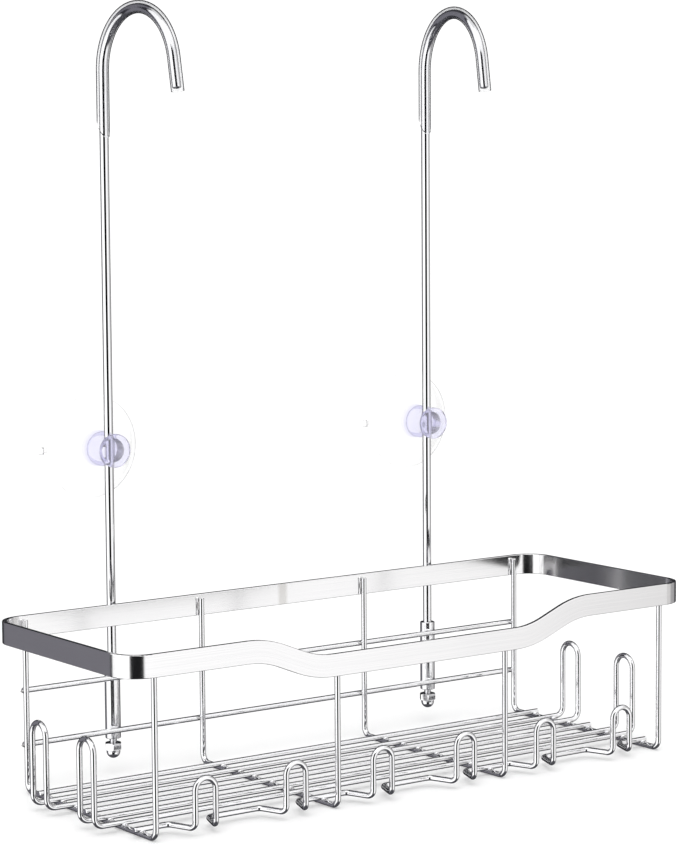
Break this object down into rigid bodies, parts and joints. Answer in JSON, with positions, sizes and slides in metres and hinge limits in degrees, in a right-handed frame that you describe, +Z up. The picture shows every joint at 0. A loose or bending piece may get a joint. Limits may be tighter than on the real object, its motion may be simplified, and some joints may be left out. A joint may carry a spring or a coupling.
{
  "type": "shower caddy",
  "caption": "Wire shower basket with a flat rim band, hanging from two swivelling arched hook rods with clear sleeves and suction cups; front hooks and side loops hold small items.",
  "frame": {"origin": "middle of the basket, on the plane that its cross frames stand on", "axes": "+X along the basket to the right, +Y from the front strip to the back, +Z up"},
  "size_m": [0.3063, 0.1331, 0.3451],
  "materials": {
    "satin_strip": "satin",
    "bright_wire": "polished",
    "bright_rod": "polished",
    "bright_fitting": "polished",
    "clear_sleeve": "clear gloss",
    "clear_soft": "clear soft gloss"
  },
  "bodies": {
    "basket": {"rim_band": "satin_strip", "cross_frame_1": "bright_wire", "cross_frame_2": "bright_wire", "cross_frame_3": "bright_wire", "cross_frame_4": "bright_wire", "floor_wire_back": "bright_wire", "floor_wire_middle": "bright_wire", "side_loop_wire_back": "bright_wire", "side_loop_wire_front": "bright_wire", "front_hook_wire": "bright_wire", "back_wire_lower": "bright_wire", "back_wire_upper": "bright_wire", "socket_left": "bright_fitting", "socket_right": "bright_fitting"},
    "hook_left": {"hook_rod_left": "bright_rod", "hook_sleeve_left": "clear_sleeve", "acorn_nut_left": "bright_fitting"},
    "hook_right": {"hook_rod_right": "bright_rod", "hook_sleeve_right": "clear_sleeve", "acorn_nut_right": "bright_fitting"},
    "cup_left": {"suction_cup_left": "clear_soft"},
    "cup_right": {"suction_cup_right": "clear_soft"}
  },
  "joints": [
    {"name": "hook_swivel_left", "type": "hinge", "parent": "basket", "child": "hook_left", "pos_m": [-0.0893, 0.06, 0.0212], "axis": [0, 0, 1], "continuous": true},
    {"name": "hook_swivel_right", "type": "hinge", "parent": "basket", "child": "hook_right", "pos_m": [0.0893, 0.06, 0.0212], "axis": [0, 0, 1], "continuous": true},
    {"name": "cup_slide_left", "type": "slide", "parent": "basket", "child": "cup_left", "axis": [0, 0, 1], "range_m": [-0.05, 0.13]},
    {"name": "cup_slide_right", "type": "slide", "parent": "basket", "child": "cup_right", "axis": [0, 0, 1], "range_m": [-0.05, 0.13]}
  ]
}
